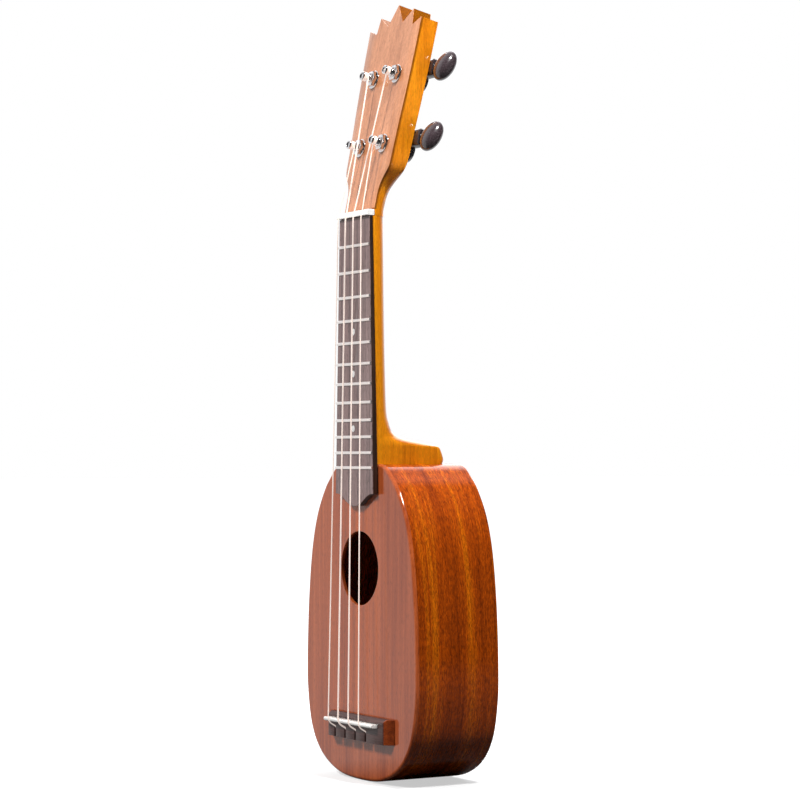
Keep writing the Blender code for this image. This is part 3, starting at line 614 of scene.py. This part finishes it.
def build_soundboard():
    points, normals = outline()
    rings = plate_rings(points, normals, 0.0, PLATE)
    centre = Vector((0, HOLE_CENTRE))
    rays = [(p - centre).normalized() for p in points]
    for wider, y in ((HOLE_EASE + LIP, 0.0), (HOLE_EASE, 0.0), (0.3 * HOLE_EASE, 0.1 * MM), (0.0, HOLE_EASE),
                     (0.0, PLATE)):
        radius = HOLE_RADIUS + wider
        rings.append([Vector((centre.x + r.x * radius, y, centre.y + r.y * radius)) for r in rays])
    new_object("soundboard_face", loft(rings, closed=True), "mahogany_top", replaces=("soundboard",),
               smooth_angle=30)


def build_back():
    points, normals = outline()
    rings = plate_rings(points, normals, BODY_DEPTH, BODY_DEPTH - PLATE)
    new_object("back_face", loft(rings), "mahogany_back", replaces=("back",),
               smooth_angle=30)


def build_sides():
    """The two bent sides. Their grain runs along the bend, so each carries its length and depth as UVs."""
    points, normals = outline()
    half = len(points) // 2
    front, rear = PLATE + 0.02 * MM, BODY_DEPTH - PLATE - 0.02 * MM
    for hand, chosen, shift in (("right", range(0, half + 1), 0.0),
                                ("left", range(half, len(points) + 1), LEFT_GRAIN)):
        spots = [i % len(points) for i in chosen]
        bm = bmesh.new()
        uv = bm.loops.layers.uv.new("grain")
        travelled = [0.0]
        for a, b in zip(spots, spots[1:]):
            travelled.append(travelled[-1] + (points[a] - points[b]).length)
        rows = []
        for i in spots:
            outer, inner = points[i], points[i] - normals[i] * SIDE
            corners = ((outer, front), (outer, rear), (inner, rear), (inner, front))
            rows.append([bm.verts.new((p.x, y, p.y)) for p, y in corners])
        depths = (front, rear, rear, front)
        for (i, one), two in zip(enumerate(rows), rows[1:]):
            for k in range(4):
                j = (k + 1) % 4
                face = bm.faces.new((one[k], one[j], two[j], two[k]))
                values = ((travelled[i], depths[k]), (travelled[i], depths[j]),
                          (travelled[i + 1], depths[j]), (travelled[i + 1], depths[k]))
                for loop, (u, v) in zip(face.loops, values):
                    loop[uv].uv = (u + shift, v + shift)
        bm.faces.new(rows[0])
        bm.faces.new(rows[-1])
        new_object(f"side_{hand}_bent", bm, "mahogany_side",
                   replaces=(f"side_{hand}",))


def build_inside():
    for node in ("neck_block", "tail_block", "lining_top_left", "lining_top_right", "lining_back_left",
                 "lining_back_right", "brace_top_upper", "brace_top_lower", "brace_back_upper",
                 "brace_back_lower", "bridge_plate"):
        dress(node, "spruce")


# Neck ---------------------------------------------------------------------------------------------

BACK_ANGLES = (3, 12, 22, 32, 41, 50, 57, 64, 71, 77, 83, 90)
CROWN_HALF_WIDTH = CROWN[-1][0]
CROWN_SHARES = tuple(x / CROWN_HALF_WIDTH for x, _ in CROWN[:-1])  # a section has a point at each of them


def front_half(half_width):
    """Front of a section from the middle to the right edge, as (across, depth)."""
    points = [(share * half_width, 0.0) for share in CROWN_SHARES]
    points += [(half_width - NECK_EASE, 0.0), (half_width - 0.3 * NECK_EASE, 0.3 * NECK_EASE),
               (half_width, NECK_EASE)]
    return points


def neck_back(half_width, depth, squareness):
    """Right half of a neck section's back, from the edge to the middle: a superellipse."""
    points = []
    for degrees in BACK_ANGLES:
        angle = math.radians(degrees)
        across = math.cos(angle) ** (2 / squareness) * half_width
        points.append((across if degrees < 90 else 0.0, math.sin(angle) ** (2 / squareness) * depth))
    return points


def head_back(half_width, depth):
    """Right half of a headstock section's back, with as many points as neck_back has."""
    points = [(half_width, depth * share) for share in (0.12, 0.3, 0.5, 0.7, 0.85)]
    points += [(half_width, depth - NECK_EASE), (half_width - 0.3 * NECK_EASE, depth - 0.3 * NECK_EASE),
               (half_width - NECK_EASE, depth)]
    points += [(share * half_width, depth) for share in reversed(CROWN_SHARES)]
    return points


def full_ring(half):
    """A closed section from its right half."""
    return half + [(-x, d) for x, d in reversed(half[1:-1])]


def crown_height(across):
    places = [(x * MM, z * MM) for x, z in (*CROWN, CROWN_RUN_ON)]
    for (x0, z0), (x1, z1) in zip(places, places[1:]):
        if across <= x1:
            return z0 + (z1 - z0) * (across - x0) / (x1 - x0)
    return places[-1][1]


def neck_rings():
    """Sections of the neck from the body to the nut."""
    stations = [Vector(station) for station in NECK_SECTIONS]
    for up, half_width, depth, squareness in catmull_rom([stations[0], *stations, stations[-1]], 4):
        rise = NECK_RISE * (1 - up * MM / BODY_TOP)
        half = front_half(half_width * MM) + neck_back(half_width * MM, depth * MM + rise, squareness)
        yield [Vector((x, d - rise, up * MM)) for x, d in full_ring(half)]
    half_width, depth, squareness = NECK_END
    half = front_half(half_width * MM) + neck_back(half_width * MM, depth * MM, squareness)
    yield [Vector((x, d, 0)) for x, d in full_ring(half)]


def head_rings():
    """Sections of the headstock, tilted back. The last follows the five points of the crown."""
    lean = Matrix.Rotation(-HEAD_TILT, 4, "X")
    start = Vector((0, 0, HEAD_START))
    square_from, square_over = SQUARING
    stations = [Vector(station) for station in HEAD_SECTIONS]
    for up, half_width, depth, squareness in catmull_rom([stations[0], *stations, stations[-1]], 3):
        share = min(max((up - square_from) / square_over, 0), 1)
        share = share * share * (3 - 2 * share)
        round_back = neck_back(half_width * MM, depth * MM, squareness)
        square_back = head_back(half_width * MM, depth * MM)
        back = [(a[0] + (b[0] - a[0]) * share, a[1] + (b[1] - a[1]) * share)
                for a, b in zip(round_back, square_back)]
        half = front_half(half_width * MM) + back
        yield [start + lean @ Vector((x, d, up * MM)) for x, d in full_ring(half)]
    half_width = CROWN_HALF_WIDTH * MM
    top = full_ring(front_half(half_width) + head_back(half_width, HEAD_THICKNESS))
    yield [start + lean @ Vector((x, d, crown_height(abs(x)))) for x, d in top]


def build_neck():
    """The neck, heel and headstock in one skin, with the tuners' bores."""
    rings = [*neck_rings(), *head_rings()]
    bm = loft(rings, caps=False)
    bm.verts.ensure_lookup_table()
    count = len(rings[0])
    bm.faces.new(bm.verts[:count])
    last = bm.verts[-count:]
    # The crown's end is closed by strips from front to back, one for each facet.
    opposite = count // 2
    steps = len(CROWN_SHARES)
    for hand in (1, -1):
        around = [last[hand * i % count] for i in range(opposite + 1)]
        for i in range(steps):
            bm.faces.new((around[i], around[i + 1], around[opposite - i - 1], around[opposite - i]))
        bm.faces.new(around[steps:opposite - steps + 1])
    neck = new_object("neck_carved", bm, "mahogany_neck", replaces=("neck",), smooth_angle=32)
    bevel(neck, 0.3 * MM, 2, 42)
    cutters = []
    for name, (side, row) in TUNERS.items():
        bore = turned(((BORE_RADIUS, -HEAD_THICKNESS - MM), (BORE_RADIUS, MM)), 32, post_place(side, row))
        cutters.append(plain_object(f"bore_{name}", bore))
    carved(neck, cutters)


# Tuners -------------------------------------------------------------------------------------------


def build_post(name, side, row):
    """The post above the headstock with its waist and cap, joined to the solid's own worm wheel below."""
    place = post_place(side, row)
    node = f"string_post_{name}"
    bm = bmesh.new()
    bm.from_mesh(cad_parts[node].data)
    bmesh.ops.remove_doubles(bm, verts=bm.verts[:], dist=1e-6)
    cut = place @ Vector((0, 0, POST_CUT))
    out = (place.to_3x3() @ Vector((0, 0, 1))).normalized()
    bmesh.ops.bisect_plane(bm, geom=bm.verts[:] + bm.edges[:] + bm.faces[:], plane_co=cut, plane_no=out,
                           clear_outer=True)
    bmesh.ops.holes_fill(bm, edges=[e for e in bm.edges if e.is_boundary])
    new_object(f"worm_wheel_{name}", bm, "chrome", f"post_{name}", replaces=(node,), smooth_angle=25)
    profile = (
        (2.2, -2.99), (2.98, -2.9), (3.0, 3.9), (3.0, 4.7), (2.75, 5.2), (2.35, 5.8), (2.14, 6.5),
        (2.1, 7.1), (2.18, 7.7), (2.5, 8.4), (3.0, 8.9), (3.2, 9.2), (3.22, 9.6), (3.15, 10.0),
        (2.95, 10.3), (2.65, 10.46), (2.3, 10.48), (2.05, 10.35), (1.9, 9.9), (1.75, 9.5), (0.9, 9.3),
        (0.25, 9.25),
    )
    top = turned([(r * MM, h * MM) for r, h in profile], 40, place)
    new_object(f"post_cap_{name}", top, "chrome", f"post_{name}", smooth_angle=50)


def build_winding(name, side, row):
    """Three turns of string round the post's waist. Returns where the string leaves for the nut."""
    place = post_place(side, row)
    radius = STRING_RADIUS[name]
    reach = POST_WAIST_RADIUS + radius + WINDING_GAP
    leave = math.pi if side > 0 else 0.0
    steps, turns = 18, 3
    points = []
    for i in range(steps * turns + 1):
        back = i / steps - turns
        angle = leave + side * 2 * math.pi * back
        height = POST_WAIST - back * WINDING_PITCH * radius - 1.5 * radius
        points.append(place @ Vector((reach * math.cos(angle), reach * math.sin(angle), height)))
    inner = place @ Vector((0.8 * MM, 0.4 * MM, POST_WAIST + 4.4 * radius))
    new_object(f"winding_{name}", tube([inner, *points], radius, 8), "nylon", f"post_{name}")
    return points[-1]


def build_bushing(name, side, row):
    """A thin washer under a hexagon with turned-off corners and a raised collar."""
    place = post_place(side, row)
    bore = 3.16
    segments = 48

    def ring(radius, height, corner=0.0):
        """A circle, or with corner 1 a hexagon round one."""
        points = []
        for x, y in circle(radius * MM, segments):
            angle = math.atan2(y, x) % (math.pi / 3) - math.pi / 6
            flat = math.cos(math.pi / 6) / math.cos(angle)
            out = 1 + (flat - 1) * corner
            points.append(place @ Vector((x * out, y * out, height * MM)))
        return points

    rings = [
        ring(4.1, -13.7), ring(4.1, 0.08), ring(6.45, 0.08), ring(6.62, 0.25), ring(6.55, 0.62),
        ring(6.2, 0.88), ring(5.9, 0.92, 1), ring(5.95, 1.0, 1), ring(5.98, 2.9, 1), ring(5.6, 3.3, 0.55),
        ring(5.0, 3.5), ring(4.5, 3.6), ring(4.3, 3.95), ring(4.0, 4.15), ring(3.5, 4.2), ring(bore, 4.0),
        ring(bore, -13.7),
    ]
    new_object(f"bushing_turned_{name}", loft(rings, closed=True), "chrome", replaces=(f"bushing_{name}",),
               smooth_angle=24)


def build_button(name, side, row):
    """The oval paddle with its collar, swelling smoothly to the middle, on the solid's own shaft."""
    place = post_place(side, row, WORM_OFFSET, -HEAD_THICKNESS - WORM_DEPTH)
    turn = place @ Matrix.Rotation(BUTTON_TURN, 4, "X")
    rings = []
    stations = [(0.0, 2.4, 2.4), (0.004, 2.7, 2.65), (0.03, 2.95, 2.85), (0.055, 3.5, 3.2)]
    for i in range(1, 20):
        angle = math.pi * (0.075 + 0.925 * i / 19)
        share = 0.03 + 0.97 * (1 - math.cos(angle)) / 2
        size = max(math.sin(angle), 0.0) ** 0.86
        stations.append((share, max(11.75 * size, 0.15), max(6.3 * size, 0.1)))
    for share, long_half, thin_half in stations:
        x = side * (BUTTON_START + share * BUTTON_LENGTH)
        rings.append([turn @ Vector((x, a * long_half * MM, b * thin_half * MM)) for a, b in circle(1, 40)])
    new_object(f"button_moulded_{name}", loft(rings), "black_button", f"key_{name}",
               replaces=(f"button_{name}",), smooth_angle=60)


def build_housing(name, side, row):
    """The gear case with eased edges, a screwed ear below it and a collar where the shaft comes out."""
    eased(f"tuner_housing_{name}", "black_housing", 0.4 * MM, 3)
    place = post_place(side, row, -DRUM_RADIUS, -HEAD_THICKNESS)
    rings = []
    for size, height in ((2.9 * MM, -0.15 * MM), (2.9 * MM, -1.3 * MM), (2.6 * MM, -1.55 * MM)):
        angles = [math.pi * (1 + i / 12) for i in range(13)]
        ring = [(-size, EAR_TOP)]
        ring += [(size * math.cos(angle), EAR_BOTTOM + size * math.sin(angle)) for angle in angles]
        ring += [(size, EAR_TOP)]
        rings.append([place @ Vector((x, y, height)) for x, y in ring])
    new_object(f"housing_ear_{name}", loft(rings), "black_housing", smooth_angle=40)
    seat = post_place(side, row, -DRUM_RADIUS + EAR_BOTTOM, -HEAD_THICKNESS)
    head = ((0.5, -1.3), (1.75, -1.5), (1.85, -1.75), (1.6, -2.2), (1.1, -2.42), (0.2, -2.5))
    screw = new_object(f"housing_screw_{name}", turned([(r * MM, h * MM) for r, h in head], 28, seat),
                       "steel_shaft", smooth_angle=50)
    cutters = []
    for turn in (0.3, 0.3 + math.pi / 2):
        blade = seat @ Matrix.Rotation(turn, 4, "Z")
        corners = ((-1.0, -0.19), (1.0, -0.19), (1.0, 0.19), (-1.0, 0.19))
        slot = loft([[blade @ Vector((x * MM, y * MM, h * MM)) for x, y in corners] for h in (-3.2, -1.95)])
        cutters.append(plain_object("cross_slot", slot))
    carved(screw, cutters)
    axis = post_place(side, row, WORM_OFFSET, -HEAD_THICKNESS - WORM_DEPTH) @ Matrix.Rotation(
        side * math.pi / 2, 4, "Y")
    collar = ((1.7, 21.2), (3.1, 21.2), (3.1, 21.75), (2.8, 22.0), (1.72, 22.0))
    rings = [[axis @ Vector((x * MM, y * MM, h * MM)) for x, y in circle(r, 28)] for r, h in collar]
    new_object(f"housing_collar_{name}", loft(rings, closed=True), "steel_shaft", smooth_angle=40)


# Strings ------------------------------------------------------------------------------------------


def build_string(name, leaves):
    """One string from its winding over the nut and the saddle, and down into its tie slot."""
    radius = STRING_RADIUS[name]
    lift = radius + STRING_GAP

    def at(x, z, height):
        return BODY_FACE @ Vector((x, z, height))

    nut_x, saddle_x = NUT_X[name], SADDLE_X[name]
    nut_back = NUT_TOP - 0.18 * NUT_HIGH - 0.35 * MM
    corners = [
        leaves,
        at(nut_x, NUT_HIGH + 0.1 * MM, nut_back + lift),
        at(nut_x, 0.2 * MM, NUT_TOP + lift),
        at(saddle_x, SADDLE_LINE + 0.3 * MM, SADDLE_TOP + lift),
        at(saddle_x, SADDLE_LINE - SADDLE_THICKNESS / 2 - 1.2 * MM, SADDLE_TOP - 1.1 * MM),
        at(saddle_x, TIE_SLOT_START - 1.2 * MM, BRIDGE_HEIGHT - 0.8 * MM),
        at(saddle_x, BRIDGE_TAIL_EDGE + 0.8 * MM, TIE_SLOT_FLOOR + 1.2 * MM),
    ]
    new_object(f"string_strung_{name}", tube(rounded(corners, STRING_BEND), radius, 10), "nylon",
               replaces=(f"string_{name}",), smooth_angle=50)


build_soundboard()
build_back()
build_sides()
build_inside()
build_neck()
for node, kind in (("fretboard", "rosewood_board"), ("bridge", "rosewood_bridge"), ("nut", "bone"),
                   ("saddle", "bone")):
    eased(node, kind, 0.25 * MM)
for number in range(1, 13):
    dress(f"fret_{number:02d}", "fret_wire")
for number in (5, 7, 10):
    dress(f"position_dot_{number}", "pearl_dot")
for tuner, (hand, level) in TUNERS.items():
    dress(f"worm_shaft_{tuner}", "steel_shaft")
    build_post(tuner, hand, level)
    build_bushing(tuner, hand, level)
    build_housing(tuner, hand, level)
    build_button(tuner, hand, level)
    build_string(tuner, build_winding(tuner, hand, level))


# Studio -------------------------------------------------------------------------------------------


def area_light(name, location, target, size, power, spread=180, mirrored=False):
    """A round lamp. Only a mirrored one is seen in glossy surfaces."""
    light = bpy.data.lights.new(name, "AREA")
    light.shape = "DISK"
    light.size = size
    light.spread = math.radians(spread)
    light.energy = power
    obj = bpy.data.objects.new(name, light)
    obj.location = location
    obj.rotation_euler = (Vector(target) - Vector(location)).to_track_quat("-Z", "Y").to_euler()
    obj.visible_glossy = mirrored
    bpy.context.scene.collection.objects.link(obj)


def build_floor():
    """A white sweep: it glows evenly far from the instrument, and near it takes a soft shadow. It lights
    the wood from below only a little, and glossy surfaces see it white on the left and dark elsewhere."""
    bm = bmesh.new()
    bmesh.ops.create_grid(bm, x_segments=1, y_segments=1, size=30)
    mesh = bpy.data.meshes.new("floor")
    bm.to_mesh(mesh)
    bm.free()
    shader = Shader("floor", Roughness=0.9)
    shader.out.inputs["Specular IOR Level"].default_value = 0.0
    shader.out.inputs["Emission Color"].default_value = (1, 1, 1, 1)
    place = shader.place()
    glow = shader.limits(shader.measure("LENGTH", place), 0.15, 0.5, 0.55, 1.0)
    ray = shader.node("ShaderNodeLightPath").outputs
    left = shader.limits(shader.node("ShaderNodeSeparateXYZ", Vector=place).outputs["X"], 0.0, -0.1, 0.0, 0.8)
    mirrored = shader.math("MULTIPLY", left, ray["Is Glossy Ray"])
    seen = shader.math("MULTIPLY", glow, ray["Is Camera Ray"])
    shader.link(shader.math("ADD", seen, mirrored), "Emission Strength")
    grey = shader.mix(ray["Is Diffuse Ray"], (0.45, 0.45, 0.45), (0.06, 0.06, 0.06))
    grey = shader.mix(ray["Is Glossy Ray"], grey, (0.05, 0.05, 0.05))
    shader.link(grey, "Base Color")
    mesh.materials.append(shader.material)
    floor = bpy.data.objects.new("floor", mesh)
    floor.location = (0, 0, CAD_BOX[0].z - 0.3 * MM)
    bpy.context.scene.collection.objects.link(floor)


def build_world():
    """White to the eye. As a light it is bright on the player's left and dark on the right, like the studio,
    with a brighter panel high on the left behind the body, which the shoulder mirrors."""
    world = bpy.data.worlds.new("studio")
    bpy.context.scene.world = world
    world.use_nodes = True
    world.node_tree.nodes.clear()
    nodes = Nodes(world.node_tree)
    direction = nodes.node("ShaderNodeTexCoord").outputs["Generated"]
    left, panel = (nodes.measure("DOT_PRODUCT", direction, Vector(towards).normalized())
                   for towards in ((-1.0, 0.0, 0.2), (-0.62, 0.51, 0.6)))
    light = nodes.ramp(left, ((0.0, (0.03, 0.03, 0.03)), (0.55, (0.9, 0.9, 0.92))))
    ray = nodes.node("ShaderNodeLightPath").outputs
    power = nodes.math("MULTIPLY", nodes.limits(ray["Is Diffuse Ray"], 0.0, 1.0, 1.0, 0.6),
                       nodes.limits(panel, 0.85, 0.92, 1.0, 2.8))
    studio = nodes.node("ShaderNodeBackground", Color=light, Strength=power).outputs[0]
    seen = nodes.node("ShaderNodeBackground", Color=(1, 1, 1, 1)).outputs[0]
    mix = nodes.node("ShaderNodeMixShader")
    for socket, value in zip(mix.inputs, (ray["Is Camera Ray"], studio, seen)):
        nodes.feed(socket, value)
    nodes.node("ShaderNodeOutputWorld", Surface=mix.outputs[0])


def build_camera():
    data = bpy.data.cameras.new("camera")
    data.lens = 108
    data.sensor_width = 36
    camera = bpy.data.objects.new("camera", data)
    camera.location = (1.4375, -0.8244, -0.1701)
    camera.rotation_euler = (math.radians(91.531), 0, math.radians(59.2))
    bpy.context.scene.collection.objects.link(camera)
    bpy.context.scene.camera = camera


build_floor()
build_world()
area_light("key_front", (-0.15, -1.5, 1.35), (0, 0, -0.1), size=0.4, power=40)
area_light("key_side", (0.8, 0.1, 1.15), (0.05, 0.03, -0.1), size=0.24, power=30, mirrored=True)
area_light("rear", (-1.02, 0.9, 0.83), (0, 0, -0.15), size=1.5, power=9)
area_light("neck_fill", (0.5, 0.22, 0.0), (0.03, 0, 0.1), size=0.2, power=0.035, spread=24)
build_camera()
bpy.context.scene.view_settings.view_transform = "Standard"
bpy.context.scene.view_settings.look = "None"
